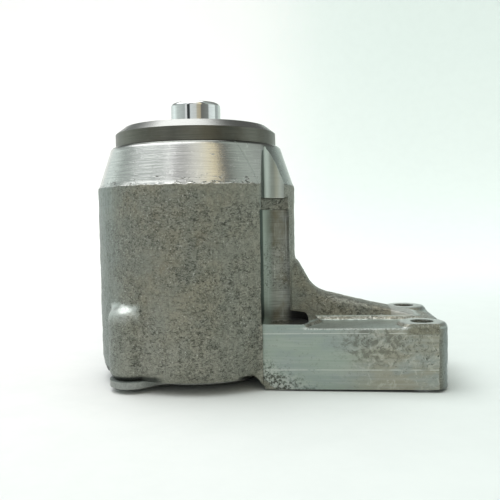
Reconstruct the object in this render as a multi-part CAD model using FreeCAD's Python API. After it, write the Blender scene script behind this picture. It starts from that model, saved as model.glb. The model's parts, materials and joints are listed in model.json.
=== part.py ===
import FreeCAD, Part
import math
import os

# Fan bracket: a cast-iron bearing housing on a bolted foot, with a fan hub on a shaft in two ball bearings.
# Lengths are millimetres and angles are degrees. The model is built about the shaft's axis, which is
# vertical, with heights counted from the mounting plane under the foot. The finished pieces are then
# shifted so that the origin is the centre of the four foot bolts in the mounting plane.

# Barrel and nose of the housing
barrel_radius = 49.0
barrel_toe_inset = 1.6
barrel_toe_height = 8.0
nose_top_radius = 42.5
nose_half_angle = 18.5
nose_edge_break = 0.8
rear_wall = 9.2
rear_opening_radius = 22.0

# Foot, its four bolts and the milled side
bolt_inset = 6.0
bolt_spacing_x = 64.0
bolt_spacing_y = 54.0
bolt_hole_radius = 5.25
pad_height = 30.0
ledge_height = 28.0
foot_left_inset = 13.0
foot_end_margin = 11.6
foot_side_margin = 9.5
foot_corner_radius = 11.0
milled_side_margin = 8.0
far_pad_radius = 9.0
spotface_radius = 12.3
spotface_rim = 0.2
near_pad_skirt = 2.0
far_pad_skirt = 4.0
foot_top_blend = 1.6

# Shoulders that the rib's root spreads into, beside the near bolts
shoulder_height = 33.4
shoulder_inset_x = 2.5
shoulder_y = 17.0
shoulder_top_radius = 7.0
shoulder_base_radius = 19.0

# Bolt access cut down the side of the barrel
access_top = 82.3
cast_band_height = 5.4
cast_band_depth = 0.9
nose_slot_radius = 8.3
nose_slot_shift = 1.4

# Rib between the barrel and the far end of the foot
rib_half_width = 9.5
rib_root_height = 56.4
rib_root_slope = 1.45
rib_tail_height = 32.6
rib_tail_slope = 0.24
rib_bend_softness = 1.4
rib_top_round = 6.0
rib_side_blend = 5.0
rib_flare = 2.2
rib_flare_run = 3.0
rib_root_depth = 5.0
rib_least_height = 0.6
rib_sink = 0.6
rib_section_count = 14

# Arch that joins the barrel's rear face to the foot, and the scoop at each end of it
arch_radius = 8.8
scoop_radius = 7.0
scoop_depth = 13.0

# Rear cover, its gasket, ears and screws
cover_lift = 2.3
cover_thickness = 3.2
gasket_thickness = 0.3
cover_disc_margin = 15.5
arm_root_radius = 20.0
ear_blend = 8.0
ear_count = 3
ear_inset = 5.0
ear_radius = 10.6
first_ear_angle = 233.5
cover_edge_round = 0.6
cover_pocket_clearance = 1.5
boss_height = 39.5
boss_top_round = 6.0
boss_toe_inset = 2.2
boss_toe_height = 2.7
boss_blend = 4.0
screw_radius = 2.5
screw_head_radius = 4.6
screw_head_height = 2.1
screw_length = 16.0
screw_tip_chamfer = 0.5
screw_hole_clearance = 0.25
screw_hole_spare = 4.0
screw_socket_across = 3.0
screw_socket_depth = 1.4

# Ball bearings
bearing_bore_radius = 15.0
bearing_outer_radius = 36.0
bearing_width = 19.0
bearing_edge = 1.0
ball_count = 8
ball_radius = 6.15
ball_clearance = 0.03
race_radius = 6.4
inner_land_drop = 3.1
outer_ring_wall = 6.0
cage_inner_reach = 1.9
cage_outer_reach = 2.5
cage_half_width = 7.2
cage_pocket_clearance = 0.1
shield_thickness = 0.8
shield_inset = 0.5
shield_seat = 1.0
shield_gap = 0.4

# Spacers, wave spring and snap ring between and above the bearings
spacer_length = 50.0
inner_spacer_wall = 3.5
outer_spacer_wall = 4.0
wave_spring_height = 2.5
wave_spring_thickness = 0.5
wave_spring_width = 3.5
wave_spring_clearance = 0.2
wave_count = 6
points_per_wave = 8
snap_ring_thickness = 2.5
snap_ring_play = 0.15
snap_ring_width = 3.6
snap_groove_depth = 1.5
snap_ring_gap_angle = 26.0
snap_lug_radius = 3.2
snap_lug_hole_radius = 1.25

# Shaft, hub and fan seat
shaft_end_gap = 1.0
thread_radius = 12.5
collar_radius = 18.5
collar_height = 2.8
hub_seat_radius = 14.0
hub_sleeve_radius = 20.0
hub_radius = 40.0
hub_gap = 0.5
hub_rim_height = 6.4
hub_chamfer_height = 3.5
hub_chamfer_width = 4.5
fan_bolt_circle_radius = 30.0
fan_bolt_hole_radius = 4.0
fan_bolt_count = 4
pilot_radius = 12.5
pilot_length = 12.5
pilot_round = 2.0
centre_hole_radius = 3.0
centre_hole_depth = 5.0

# Lock nut and tab washer
nut_radius = 19.0
nut_height = 7.0
nut_chamfer = 1.0
nut_slot_count = 4
nut_slot_width = 5.0
nut_slot_depth = 2.0
washer_thickness = 1.25
washer_radius = 16.5
washer_tab_count = 11
washer_bent_tab = 4.0
washer_tab_width = 4.0
washer_tab_length = 2.5
keyway_width = 5.0
keyway_depth = 2.0
keyway_clearance = 0.1

# Shaft seal
seal_width = 7.5
seal_case_wall = 1.2
seal_lip_gap = 0.05
seal_reach = 6.0
seal_neck = 3.1
seal_lip_length = 6.2
seal_lip_setback = 4.6
seal_throat = 1.35
seal_spring_radius = 0.9
seal_set_back = 0.25

# Heights worked out from the sizes above
cover_top = cover_lift + cover_thickness
rear_face = cover_top + gasket_thickness
rear_bearing_z = rear_face + rear_wall
front_bearing_z = rear_bearing_z + bearing_width + spacer_length
front_bearing_top = front_bearing_z + bearing_width
snap_groove_top = front_bearing_top + snap_ring_thickness + snap_ring_play
nose_top = snap_groove_top + seal_set_back + seal_width
hub_bottom = nose_top + hub_gap
hub_rim_top = hub_bottom + hub_rim_height
hub_face = hub_rim_top + hub_chamfer_height
pilot_top = hub_face + pilot_length
collar_top = front_bearing_top + collar_height
washer_bottom = rear_bearing_z - washer_thickness
nut_bottom = washer_bottom - nut_height
shaft_end = cover_top + shaft_end_gap
nose_bottom = nose_top - (barrel_radius - nose_top_radius) / math.tan(math.radians(nose_half_angle))

# Places worked out from the sizes above
pitch_radius = (bearing_bore_radius + bearing_outer_radius) / 2
inner_land_radius = pitch_radius - inner_land_drop
outer_land_radius = bearing_outer_radius - outer_ring_wall
cover_disc_radius = rear_opening_radius + cover_disc_margin
ear_circle_radius = barrel_radius - ear_inset
bolt_offset = barrel_radius - bolt_inset
foot_left = barrel_radius - foot_left_inset
bolt_y = bolt_spacing_y / 2
bolt_xs = (bolt_offset, bolt_offset + bolt_spacing_x)
foot_right = bolt_offset + bolt_spacing_x + foot_end_margin
foot_side = bolt_y + foot_side_margin
milled_side = bolt_y + milled_side_margin
origin_x = bolt_offset + bolt_spacing_x / 2
nut_slot_floor = nut_radius - nut_slot_depth

# How far a cutting shape reaches past what it cuts, and how near two lengths are to count as the same
over = 1.0
same = 0.01

UP = FreeCAD.Vector(0, 0, 1)


def vec(x, y, z=0.0):
    return FreeCAD.Vector(x, y, z)


def polar(radius, angle, z=0.0):
    turn = math.radians(angle)
    return vec(radius * math.cos(turn), radius * math.sin(turn), z)


def cylinder(radius, bottom, top, at=None):
    place = vec(0, 0, bottom) if at is None else vec(at.x, at.y, bottom)
    return Part.makeCylinder(radius, top - bottom, place, UP)


def ring(inner, outer, bottom, top):
    return cylinder(outer, bottom, top).cut(cylinder(inner, bottom - over, top + over))


def turned(points):
    """A solid of revolution about the shaft's axis, from (radius, height) points."""
    corners = [vec(radius, 0, height) for radius, height in points]
    outline = Part.makePolygon(corners + corners[:1])
    return Part.Face(outline).revolve(vec(0, 0), UP, 360)


def prism(edges, height):
    """Raises a closed flat outline straight up."""
    return Part.Face(Part.Wire(edges)).extrude(vec(0, 0, height))


def tangent_hull(centre_a, radius_a, centre_b, radius_b):
    """The four edges of a belt round two circles."""
    along = centre_b - centre_a
    heading = math.degrees(math.atan2(along.y, along.x))
    spread = math.degrees(math.acos((radius_a - radius_b) / along.Length))
    a_left = centre_a + polar(radius_a, heading + spread)
    a_right = centre_a + polar(radius_a, heading - spread)
    b_left = centre_b + polar(radius_b, heading + spread)
    b_right = centre_b + polar(radius_b, heading - spread)
    a_back = centre_a - polar(radius_a, heading)
    b_tip = centre_b + polar(radius_b, heading)
    return [
        Part.Arc(a_left, a_back, a_right).toShape(),
        Part.makeLine(a_right, b_right),
        Part.Arc(b_right, b_tip, b_left).toShape(),
        Part.makeLine(b_left, a_left),
    ]


def ear_centres():
    step = 360 / ear_count
    return [polar(ear_circle_radius, first_ear_angle + i * step) for i in range(ear_count)]


def cover_outline(grow, bottom, top):
    """The outline of the rear cover, a disc with ears, grown all round, as a solid."""
    disc = cylinder(cover_disc_radius + grow, bottom, top)
    arms = []
    for centre in ear_centres():
        arm = prism(tangent_hull(vec(0, 0), arm_root_radius, centre, ear_radius + grow), top - bottom)
        arm.translate(vec(0, 0, bottom))
        arms.append(arm)
    plate = disc.fuse(arms).removeSplitter()
    return plate.makeFillet(ear_blend - grow, [edge for edge in plate.Edges if is_ear_root(edge, grow)])


def is_ear_root(edge, grow):
    """True for the upright edge where an ear's side meets the disc."""
    point = middle(edge)
    upright = abs(edge.Vertexes[0].Z - edge.Vertexes[-1].Z) > same
    return upright and abs(math.hypot(point.x, point.y) - cover_disc_radius - grow) < same


def middle(edge):
    return edge.valueAt((edge.FirstParameter + edge.LastParameter) / 2)


def edges_at(shape, height):
    """The edges whose middle lies at a height."""
    return [edge for edge in shape.Edges if abs(middle(edge).z - height) < same]


def box(length, width, bottom, top, start_x):
    """A box centred on the X axis that starts at a given X."""
    return Part.makeBox(length, width, top - bottom, vec(start_x, -width / 2, bottom))


# Housing


def barrel():
    toe_top = rear_face + barrel_toe_height
    toe_radius = barrel_radius - barrel_toe_inset
    bottom_in = vec(0, 0, rear_face)
    bottom_out = vec(toe_radius, 0, rear_face)
    toe_middle = vec(barrel_radius - barrel_toe_inset / 4, 0, rear_face + barrel_toe_height / 2)
    toe_end = vec(barrel_radius, 0, toe_top)
    nose_foot = vec(barrel_radius, 0, nose_bottom)
    nose_edge = vec(nose_top_radius, 0, nose_top - nose_edge_break)
    nose_rim = vec(nose_top_radius - nose_edge_break, 0, nose_top)
    nose_in = vec(0, 0, nose_top)
    outline = [
        Part.makeLine(bottom_in, bottom_out),
        Part.Arc(bottom_out, toe_middle, toe_end).toShape(),
        Part.makeLine(toe_end, nose_foot),
        Part.makeLine(nose_foot, nose_edge),
        Part.makeLine(nose_edge, nose_rim),
        Part.makeLine(nose_rim, nose_in),
        Part.makeLine(nose_in, bottom_in),
    ]
    return Part.Face(Part.Wire(outline)).revolve(vec(0, 0), UP, 360)


def foot_block(bottom, top):
    """The foot's outline, with round corners at its far end, between two heights."""
    start_x = barrel_radius / 2
    corner_x = foot_right - foot_corner_radius
    corner_y = foot_side - foot_corner_radius
    diagonal = foot_corner_radius / math.sqrt(2)
    near_start = vec(start_x, -foot_side)
    near_end = vec(corner_x, -foot_side)
    near_bend = vec(corner_x + diagonal, -corner_y - diagonal)
    end_low = vec(foot_right, -corner_y)
    end_high = vec(foot_right, corner_y)
    far_bend = vec(corner_x + diagonal, corner_y + diagonal)
    far_end = vec(corner_x, foot_side)
    far_start = vec(start_x, foot_side)
    outline = [
        Part.makeLine(near_start, near_end),
        Part.Arc(near_end, near_bend, end_low).toShape(),
        Part.makeLine(end_low, end_high),
        Part.Arc(end_high, far_bend, far_end).toShape(),
        Part.makeLine(far_end, far_start),
        Part.makeLine(far_start, near_start),
    ]
    block = prism(outline, top - bottom)
    block.translate(vec(0, 0, bottom))
    return block


def rib_height(x):
    """Height of the rib's top: a steep run off the barrel that bends into a gentle one."""
    steep = rib_root_height - rib_root_slope * (x - barrel_radius)
    gentle = rib_tail_height - rib_tail_slope * (x - bolt_xs[1] + far_pad_radius)
    return (steep + gentle) / 2 + math.hypot((steep - gentle) / 2, rib_bend_softness)


def rib_section(x, top, half_width, blend):
    """An upright bell-shaped outline across the rib, with its sides swept out into the ledge."""
    sink = rib_sink
    crown = min(rib_top_round, (top - ledge_height) / 2)
    low = ledge_height - sink
    half_poles = [
        (half_width + blend, low),
        (half_width + blend / 4, ledge_height),
        (half_width, ledge_height + min(blend, (top - ledge_height)) / 3),
        (half_width, top - crown / 2),
        (half_width - crown / 2, top),
    ]
    left = [vec(x, -y, z) for y, z in half_poles]
    right = [vec(x, y, z) for y, z in reversed(half_poles)]
    curve = Part.BSplineCurve()
    curve.buildFromPoles(left + [vec(x, 0, top)] + right, False, 3)
    base_left = vec(x, -half_width - blend, low - sink)
    base_right = vec(x, half_width + blend, low - sink)
    return Part.Wire([
        curve.toShape(),
        Part.makeLine(right[-1], base_right),
        Part.makeLine(base_right, base_left),
        Part.makeLine(base_left, left[0]),
    ])


def rib():
    """The gusset that runs down from the barrel to the far end of the foot, and widens at both ends."""
    start = barrel_radius - rib_root_depth
    end = foot_right - foot_top_blend
    sections = []
    for i in range(rib_section_count):
        x = start + (end - start) * i / (rib_section_count - 1)
        near = min(1.0, math.exp((barrel_radius - x) / rib_flare_run))
        far = max(0.0, (x - bolt_xs[1] + 2 * far_pad_radius) / (end - bolt_xs[1] + 2 * far_pad_radius))
        top = max(rib_height(x) + rib_flare * near, ledge_height + rib_least_height)
        half_width = rib_half_width + rib_flare * (near + far)
        sections.append(rib_section(x, top, half_width, rib_side_blend * (1 + far)))
    return Part.makeLoft(sections, True, False)


def mound(at, top_radius, base_radius, top):
    """A flat-topped mound on the ledge, whose side sweeps out in an S down to it."""
    reach = (top_radius + base_radius) / 2
    low = ledge_height - rib_sink
    bottom = ledge_height - foot_top_blend
    side = Part.BSplineCurve()
    poles = [vec(top_radius, 0, top), vec(reach, 0, top), vec(reach, 0, low), vec(base_radius, 0, low)]
    side.buildFromPoles(poles, False, 3)
    outline = [
        Part.makeLine(vec(0, 0, top), poles[0]),
        side.toShape(),
        Part.makeLine(poles[-1], vec(base_radius, 0, bottom)),
        Part.makeLine(vec(base_radius, 0, bottom), vec(0, 0, bottom)),
        Part.makeLine(vec(0, 0, bottom), vec(0, 0, top)),
    ]
    solid = Part.Face(Part.Wire(outline)).revolve(vec(0, 0), UP, 360)
    solid.translate(at)
    return solid


def pads():
    """Raised pads round the four bolts and shoulders beside the near ones, within the side of the foot."""
    block = foot_block(ledge_height - foot_top_blend, shoulder_height + over)
    near_radius = spotface_radius + spotface_rim
    solids = []
    for side in (-1, 1):
        near = vec(bolt_xs[0], side * bolt_y)
        far = vec(bolt_xs[1], side * bolt_y)
        shoulder = vec(barrel_radius - shoulder_inset_x, side * shoulder_y)
        mounds = [
            mound(near, near_radius, near_radius + near_pad_skirt, pad_height),
            mound(far, far_pad_radius, far_pad_radius + far_pad_skirt, pad_height),
            mound(shoulder, shoulder_top_radius, shoulder_base_radius, shoulder_height),
        ]
        solids += [shape.common(block) for shape in mounds]
    return solids


def bosses():
    """Screw bosses on the barrel, upright posts with a round shoulder. The foot holds the other screw."""
    toe_top = rear_face + boss_toe_height
    solids = []
    for centre in ear_centres():
        if centre.x < foot_left:
            post = cylinder(ear_radius, toe_top, boss_height, centre)
            post = post.makeFillet(boss_top_round, edges_at(post, boss_height))
            toe_at = vec(centre.x, centre.y, rear_face)
            toe = Part.makeCone(ear_radius - boss_toe_inset, ear_radius, boss_toe_height, toe_at, UP)
            solids.append(post.fuse(toe))
    return solids


def meets_barrel(edge):
    """True for an edge where a boss runs into the side of the barrel."""
    point = middle(edge)
    on_side = abs(math.hypot(point.x, point.y) - barrel_radius) < same
    above_toe = point.z > rear_face + barrel_toe_height + same
    return on_side and above_toe and point.z < nose_bottom - same and edge.Length < barrel_radius


def cast_shape():
    """The casting before it is machined."""
    round_part = barrel().fuse(bosses()).removeSplitter()
    round_part = round_part.makeFillet(boss_blend, [edge for edge in round_part.Edges if meets_barrel(edge)])
    block = foot_block(0, ledge_height)
    rim = [edge for edge in edges_at(block, ledge_height) if middle(edge).x > barrel_radius]
    block = block.makeFillet(foot_top_blend, rim)
    return round_part.fuse([block, rib()] + pads()).removeSplitter()


def access_cuts(side):
    """What the bolt tools clear down the side of the barrel, above a near pad."""
    near = vec(bolt_offset, side * bolt_y)
    slot_y = side * (bolt_y + nose_slot_shift)
    band_top = access_top + cast_band_height
    slot_bottom = band_top - over
    slot_top = nose_top + over
    mouth = box(2 * nose_slot_radius, barrel_radius, slot_bottom, slot_top, bolt_offset - nose_slot_radius)
    mouth.translate(vec(0, slot_y + side * barrel_radius / 2))
    return [
        cylinder(spotface_radius, pad_height, access_top, near),
        cylinder(spotface_radius - cast_band_depth, access_top - over, band_top, near),
        cylinder(nose_slot_radius, slot_bottom, slot_top, vec(bolt_offset, slot_y)),
        mouth,
    ]


def foot_cuts():
    """The relief under the barrel, the scoops beside the foot, the milled side and the bolt holes."""
    reach = 2 * barrel_radius
    relief = box(foot_left + reach, 2 * reach, -arch_radius, rear_face, -reach)
    arch_edge = [edge for edge in edges_at(relief, rear_face) if abs(middle(edge).x - foot_left) < same]
    relief = relief.makeFillet(arch_radius, arch_edge)
    milled_start = math.sqrt(barrel_radius ** 2 - milled_side ** 2)
    milled = box(foot_right, reach, -over, pad_height + over, milled_start)
    milled.translate(vec(0, -milled_side - reach / 2))
    cuts = [relief, milled, cover_outline(cover_pocket_clearance, -over, rear_face)]
    for side in (-1, 1):
        start = vec(foot_left - arch_radius, side * (barrel_radius + over), 0)
        scoop = Part.makeCylinder(scoop_radius, scoop_depth + over, start, vec(0, -side, 0))
        tip = Part.makeSphere(scoop_radius, vec(start.x, side * (barrel_radius - scoop_depth), 0))
        cuts += [scoop, tip]
        cuts += access_cuts(side)
        for x in bolt_xs:
            cuts.append(cylinder(bolt_hole_radius, -over, pad_height + over, vec(x, side * bolt_y)))
    return cuts


def bore_cuts():
    """The bearing bore with its snap ring groove, the rear opening and the cover's screw holes."""
    bore = cylinder(bearing_outer_radius, rear_bearing_z, nose_top + over)
    groove = cylinder(bearing_outer_radius + snap_groove_depth, front_bearing_top, snap_groove_top)
    opening = cylinder(rear_opening_radius, rear_face - over, rear_bearing_z + over)
    screw_end = cover_lift + screw_length + screw_hole_spare
    holes = [cylinder(screw_radius, rear_face - over, screw_end, centre) for centre in ear_centres()]
    return [bore, groove, opening] + holes


def housing():
    return cast_shape().cut(foot_cuts() + bore_cuts())


# Rear cover


def screw_passages():
    """What the cover and the gasket leave clear round the screws."""
    radius = screw_radius + screw_hole_clearance
    return [cylinder(radius, cover_lift - over, rear_face + over, centre) for centre in ear_centres()]


def screw_head(centre, grow=0.0):
    """The countersunk head, flush with the outside of the cover."""
    base = vec(centre.x, centre.y, cover_lift)
    return Part.makeCone(screw_head_radius + grow, screw_radius + grow, screw_head_height, base, UP)


def cover():
    plate = cover_outline(0, cover_lift, cover_top)
    plate = plate.makeFillet(cover_edge_round, edges_at(plate, cover_lift))
    heads = [screw_head(centre, screw_hole_clearance) for centre in ear_centres()]
    return plate.cut(screw_passages() + heads)


def gasket():
    sheet = cover_outline(0, cover_top, rear_face)
    opening = cylinder(rear_opening_radius, cover_top - over, rear_face + over)
    return sheet.cut(screw_passages() + [opening])


def cover_screw(centre):
    tip = cover_lift + screw_length
    shank = cylinder(screw_radius, cover_lift, tip, centre)
    shank = shank.makeChamfer(screw_tip_chamfer, edges_at(shank, tip))
    socket_radius = screw_socket_across / math.sqrt(3)
    corners = [polar(socket_radius, 360 / 6 * i, cover_lift - over) + centre for i in range(6)]
    socket = Part.Face(Part.makePolygon(corners + corners[:1])).extrude(vec(0, 0, over + screw_socket_depth))
    return shank.fuse(screw_head(centre)).cut(socket).removeSplitter()


# Ball bearings, each written for its lower face at the given height


def bearing_rings(bottom):
    """The outer and the inner ring, with their races and shield seats."""
    top = bottom + bearing_width
    mid = bottom + bearing_width / 2
    edge = bearing_edge
    outer_shell = turned([
        (outer_land_radius, bottom), (bearing_outer_radius - edge, bottom),
        (bearing_outer_radius, bottom + edge), (bearing_outer_radius, top - edge),
        (bearing_outer_radius - edge, top), (outer_land_radius, top),
    ])
    inner_shell = turned([
        (bearing_bore_radius + edge, bottom), (inner_land_radius, bottom),
        (inner_land_radius, top), (bearing_bore_radius + edge, top),
        (bearing_bore_radius, top - edge), (bearing_bore_radius, bottom + edge),
    ])
    race_offset = race_radius - ball_radius - ball_clearance
    outer_race = Part.makeTorus(pitch_radius - race_offset, race_radius, vec(0, 0, mid))
    inner_race = Part.makeTorus(pitch_radius + race_offset, race_radius, vec(0, 0, mid))
    seat = outer_land_radius + shield_seat
    depth = shield_inset + shield_thickness
    seats = [cylinder(seat, bottom - over, bottom + depth), cylinder(seat, top - depth, top + over)]
    return outer_shell.cut([outer_race] + seats), inner_shell.cut(inner_race)


def bearing_balls(bottom):
    mid = bottom + bearing_width / 2
    step = 360 / ball_count
    return [Part.makeSphere(ball_radius, polar(pitch_radius, i * step, mid)) for i in range(ball_count)]


def bearing_cage(bottom):
    mid = bottom + bearing_width / 2
    step = 360 / ball_count
    pocket = ball_radius + cage_pocket_clearance
    pockets = []
    for i in range(ball_count):
        start = polar(pitch_radius / 2, i * step, mid)
        pockets.append(Part.makeCylinder(pocket, pitch_radius, start, polar(1, i * step)))
    inner = pitch_radius - cage_inner_reach
    outer = pitch_radius + cage_outer_reach
    return ring(inner, outer, mid - cage_half_width, mid + cage_half_width).cut(pockets)


def bearing_shields(bottom):
    inner = inner_land_radius + shield_gap
    outer = outer_land_radius + shield_seat
    depth = shield_inset + shield_thickness
    top = bottom + bearing_width
    return [
        ring(inner, outer, bottom + shield_inset, bottom + depth),
        ring(inner, outer, top - depth, top - shield_inset),
    ]


# Spacers, wave spring and snap ring


def wave_spring():
    """A flat ring bent into waves, between the outer spacer and the front bearing."""
    centre = front_bearing_z - wave_spring_height / 2
    swing = (wave_spring_height - wave_spring_thickness) / 2
    outer = bearing_outer_radius - wave_spring_clearance
    points_round = points_per_wave * wave_count

    def rim(radius, lift):
        points = []
        for i in range(points_round):
            angle = 360 * i / points_round
            wave = swing * math.sin(math.radians(wave_count * angle))
            points.append(polar(radius, angle, centre + wave + lift))
        curve = Part.BSplineCurve()
        curve.interpolate(points, PeriodicFlag=True)
        return curve.toShape()

    half = wave_spring_thickness / 2
    low_in = rim(outer - wave_spring_width, -half)
    low_out = rim(outer, -half)
    high_in = rim(outer - wave_spring_width, half)
    high_out = rim(outer, half)
    faces = [
        Part.makeRuledSurface(low_in, low_out),
        Part.makeRuledSurface(low_out, high_out),
        Part.makeRuledSurface(high_out, high_in),
        Part.makeRuledSurface(high_in, low_in),
    ]
    shell = Part.makeShell(faces)
    shell.sewShape()
    solid = Part.makeSolid(shell)
    if solid.Volume < 0:
        solid.reverse()
    return solid


def snap_ring():
    outer = bearing_outer_radius + snap_groove_depth - snap_ring_play
    inner = outer - snap_ring_width
    bottom = front_bearing_top
    top = bottom + snap_ring_thickness
    body = ring(inner, outer, bottom, top)
    half_gap = snap_ring_gap_angle / 2
    reach = 2 * outer
    wedge = Part.makePolygon([vec(0, 0, bottom - over), polar(reach, -half_gap, bottom - over),
                              polar(reach, half_gap, bottom - over), vec(0, 0, bottom - over)])
    body = body.cut(Part.Face(wedge).extrude(vec(0, 0, top - bottom + 2 * over)))
    lean = math.degrees(snap_lug_radius / inner)
    for side in (-1, 1):
        lug_at = polar(inner, side * (half_gap + lean))
        body = body.fuse(cylinder(snap_lug_radius, bottom, top, lug_at))
        body = body.cut(cylinder(snap_lug_hole_radius, bottom - over, top + over, lug_at))
    return body.common(cylinder(outer, bottom, top)).removeSplitter()


# Shaft, hub, lock nut and tab washer


def centre_hole(height, direction):
    """A conical centre hole in the end of the shaft."""
    mouth = vec(0, 0, height)
    return Part.makeCone(centre_hole_radius, 0, centre_hole_depth, mouth, vec(0, 0, direction))


def shaft():
    edge = bearing_edge / 2
    sagitta = pilot_round * (1 - math.sqrt(0.5))
    round_start = vec(pilot_radius, 0, pilot_top - pilot_round)
    round_mid = vec(pilot_radius - sagitta, 0, pilot_top - sagitta)
    round_end = vec(pilot_radius - pilot_round, 0, pilot_top)
    profile = [
        (0, shaft_end), (thread_radius - edge, shaft_end), (thread_radius, shaft_end + edge),
        (thread_radius, rear_bearing_z), (bearing_bore_radius, rear_bearing_z),
        (bearing_bore_radius, front_bearing_top), (collar_radius, front_bearing_top),
        (collar_radius, collar_top), (hub_seat_radius, collar_top),
        (hub_seat_radius, hub_face), (pilot_radius, hub_face),
    ]
    points = [vec(radius, 0, height) for radius, height in profile] + [round_start]
    edges = [Part.makeLine(a, b) for a, b in zip(points, points[1:])]
    edges.append(Part.Arc(round_start, round_mid, round_end).toShape())
    edges.append(Part.makeLine(round_end, vec(0, 0, pilot_top)))
    edges.append(Part.makeLine(vec(0, 0, pilot_top), points[0]))
    body = Part.Face(Part.Wire(edges)).revolve(vec(0, 0), UP, 360)
    keyway_floor = thread_radius - keyway_depth
    keyway = box(2 * keyway_depth, keyway_width, shaft_end - over, rear_bearing_z, keyway_floor)
    return body.cut([keyway, centre_hole(pilot_top, -1), centre_hole(shaft_end, 1)])


def hub():
    """The rotating flange that carries the fan, pressed on the shaft, with its sleeve running in the seal."""
    edge = bearing_edge / 2
    body = turned([
        (hub_seat_radius, collar_top), (hub_sleeve_radius - edge, collar_top),
        (hub_sleeve_radius, collar_top + edge), (hub_sleeve_radius, hub_bottom),
        (hub_radius, hub_bottom), (hub_radius, hub_rim_top),
        (hub_radius - hub_chamfer_width, hub_face), (hub_seat_radius, hub_face),
    ])
    holes = []
    for i in range(fan_bolt_count):
        at = polar(fan_bolt_circle_radius, 360 * (i + 0.5) / fan_bolt_count)
        holes.append(cylinder(fan_bolt_hole_radius, hub_bottom - over, hub_face + over, at))
    return body.cut(holes)


def lock_nut():
    flat = nut_radius - nut_chamfer
    body = turned([
        (thread_radius, nut_bottom), (flat, nut_bottom), (nut_radius, nut_bottom + nut_chamfer),
        (nut_radius, washer_bottom - nut_chamfer), (flat, washer_bottom), (thread_radius, washer_bottom),
    ])
    slots = []
    slot_top = washer_bottom + over
    for i in range(nut_slot_count):
        slot = box(2 * nut_slot_depth, nut_slot_width, nut_bottom - over, slot_top, nut_slot_floor)
        slots.append(slot.rotate(vec(0, 0), UP, 360 * i / nut_slot_count))
    return body.cut(slots)


def tab_washer():
    """Flat washer with a key in the shaft, tabs round its rim and one tab bent into the nut."""
    body = ring(thread_radius, washer_radius, washer_bottom, rear_bearing_z)
    tab_start = thread_radius + over
    tabs = []
    for i in range(washer_tab_count):
        tab_end = nut_slot_floor + washer_thickness if i == 0 else washer_radius + washer_tab_length
        tab = box(tab_end - tab_start, washer_tab_width, washer_bottom, rear_bearing_z, tab_start)
        tabs.append(tab.rotate(vec(0, 0), UP, 360 * i / washer_tab_count))
    bent_end = washer_bottom - washer_bent_tab
    bent = box(washer_thickness, washer_tab_width, bent_end, washer_bottom, nut_slot_floor)
    key_width = keyway_width - 2 * keyway_clearance
    key_depth = keyway_depth - keyway_clearance
    key = box(key_depth + over, key_width, washer_bottom, rear_bearing_z, thread_radius - key_depth)
    return body.fuse(tabs + [bent, key]).removeSplitter()


# Shaft seal


def seal_case():
    inner = bearing_outer_radius - seal_case_wall
    web = hub_sleeve_radius + seal_reach
    bottom = nose_top - seal_width
    return turned([
        (inner, bottom), (bearing_outer_radius, bottom), (bearing_outer_radius, nose_top),
        (web, nose_top), (web, nose_top - seal_case_wall), (inner, nose_top - seal_case_wall),
    ])


def seal_lip():
    """Rubber lip bonded inside the case, with a dust lip above the main lip."""
    web = hub_sleeve_radius + seal_reach
    edge = hub_sleeve_radius + seal_lip_gap
    neck = hub_sleeve_radius + seal_neck
    throat = edge + seal_throat
    return turned([
        (web, nose_top), (edge + seal_case_wall / 2, nose_top), (edge, nose_top - seal_case_wall / 2),
        (throat, nose_top - 1.5 * seal_case_wall), (edge, nose_top - seal_lip_setback),
        (throat, nose_top - seal_lip_length), (neck, nose_top - seal_lip_length),
        (neck, nose_top - seal_lip_setback / 2), (web, nose_top - seal_case_wall),
    ])


def seal_spring():
    """The garter spring round the lip, as a plain ring of wire."""
    ring_radius = hub_sleeve_radius + seal_neck + seal_spring_radius
    return Part.makeTorus(ring_radius, seal_spring_radius, vec(0, 0, nose_top - seal_lip_setback))


# Hand-over


def save(name, *solids):
    shape = solids[0] if len(solids) == 1 else Part.makeCompound(list(solids))
    shape = shape.copy()
    shape.translate(vec(-origin_x, 0))
    shape.exportStep("parts/" + name + ".step")


def main():
    os.makedirs("parts", exist_ok=True)
    save("housing", housing())
    save("rear_cover", cover())
    save("cover_gasket", gasket())
    save("cover_screws", *[cover_screw(centre) for centre in ear_centres()])
    for place, bottom in (("rear", rear_bearing_z), ("front", front_bearing_z)):
        outer_ring, inner_ring = bearing_rings(bottom)
        save(place + "_outer_ring", outer_ring)
        save(place + "_inner_ring", inner_ring)
        save(place + "_balls", *bearing_balls(bottom))
        save(place + "_cage", bearing_cage(bottom))
        save(place + "_shields", *bearing_shields(bottom))
    spacer_bottom = rear_bearing_z + bearing_width
    inner_wall = bearing_bore_radius + inner_spacer_wall
    outer_wall = bearing_outer_radius - outer_spacer_wall
    outer_top = front_bearing_z - wave_spring_height
    save("inner_spacer", ring(bearing_bore_radius, inner_wall, spacer_bottom, front_bearing_z))
    save("outer_spacer", ring(outer_wall, bearing_outer_radius, spacer_bottom, outer_top))
    save("wave_spring", wave_spring())
    save("snap_ring", snap_ring())
    save("shaft", shaft())
    save("fan_hub", hub())
    save("lock_nut", lock_nut())
    save("tab_washer", tab_washer())
    save("seal_case", seal_case())
    save("seal_lip", seal_lip())
    save("seal_spring", seal_spring())


main()
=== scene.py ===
import json
import math

import bpy
from mathutils import Matrix, Vector


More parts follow.
